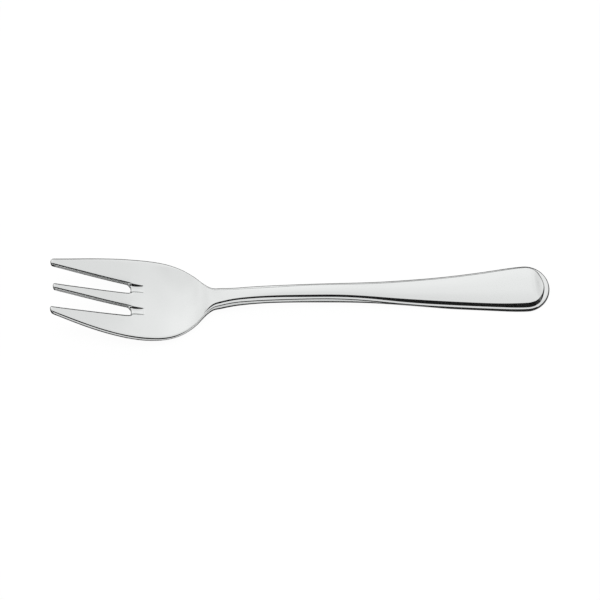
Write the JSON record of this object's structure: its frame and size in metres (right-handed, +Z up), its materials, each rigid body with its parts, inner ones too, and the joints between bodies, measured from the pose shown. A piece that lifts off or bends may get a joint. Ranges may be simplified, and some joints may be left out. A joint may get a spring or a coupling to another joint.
{
  "type": "cake fork",
  "caption": "Polished steel cake fork with a dished head, pointed tines, a slim arched neck and a flared handle with a raised panel and stepped border.",
  "frame": {"origin": "on the table that the fork lies on, under the middle of its length and width", "axes": "+X from the tine tips to the end of the handle, +Y to the right-hand side of someone holding the fork, +Z up out of the dished face"},
  "size_m": [0.15, 0.0278, 0.0158],
  "materials": {
    "steel": "mirror-polished stainless steel"
  },
  "bodies": {
    "root": {"left_tine": "steel", "middle_tine": "steel", "right_tine": "steel", "head": "steel", "neck": "steel", "handle": "steel"}
  },
  "joints": []
}
